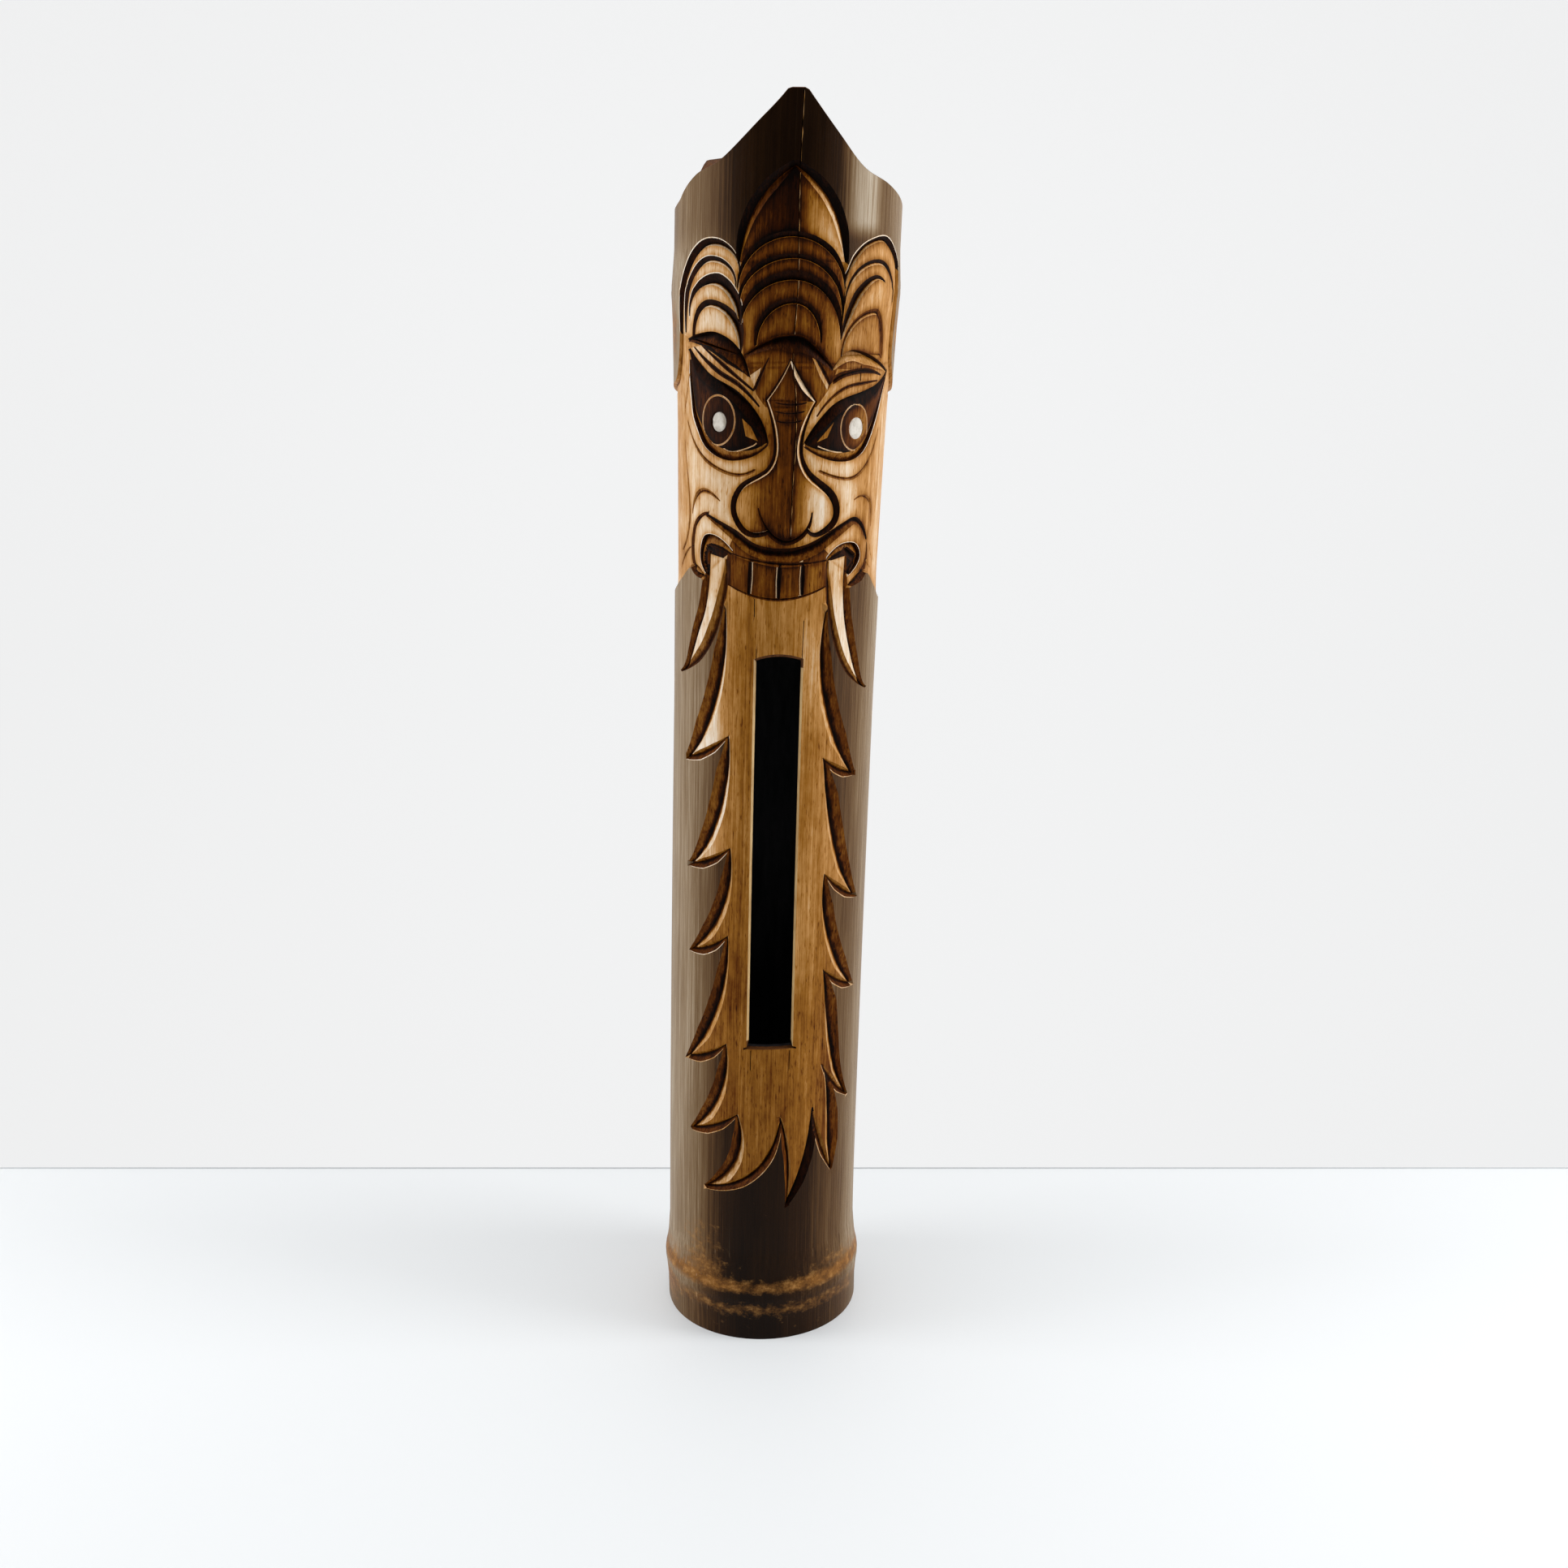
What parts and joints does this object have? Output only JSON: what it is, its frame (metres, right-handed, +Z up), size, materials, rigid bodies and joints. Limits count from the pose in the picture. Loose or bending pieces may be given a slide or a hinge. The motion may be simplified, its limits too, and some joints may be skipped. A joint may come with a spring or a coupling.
{
  "type": "bamboo clapper",
  "caption": "Upright bamboo slit drum: a bowed culm with a long sounding slot, a tusked mask and a beard of hooked locks carved round it, and a pointed open crown.",
  "frame": {"origin": "on the surface the drum stands on, at the middle of its footprint seen from above", "axes": "+Z up along the culm, the carved front looks along -Y, +X is on the viewer's right"},
  "size_m": [0.1188, 0.1062, 0.6],
  "materials": {
    "varnished_bamboo": "stained in the knife cuts, clear gloss varnish over all"
  },
  "bodies": {
    "root": {"carved_bamboo_culm": "varnished_bamboo"}
  },
  "joints": []
}
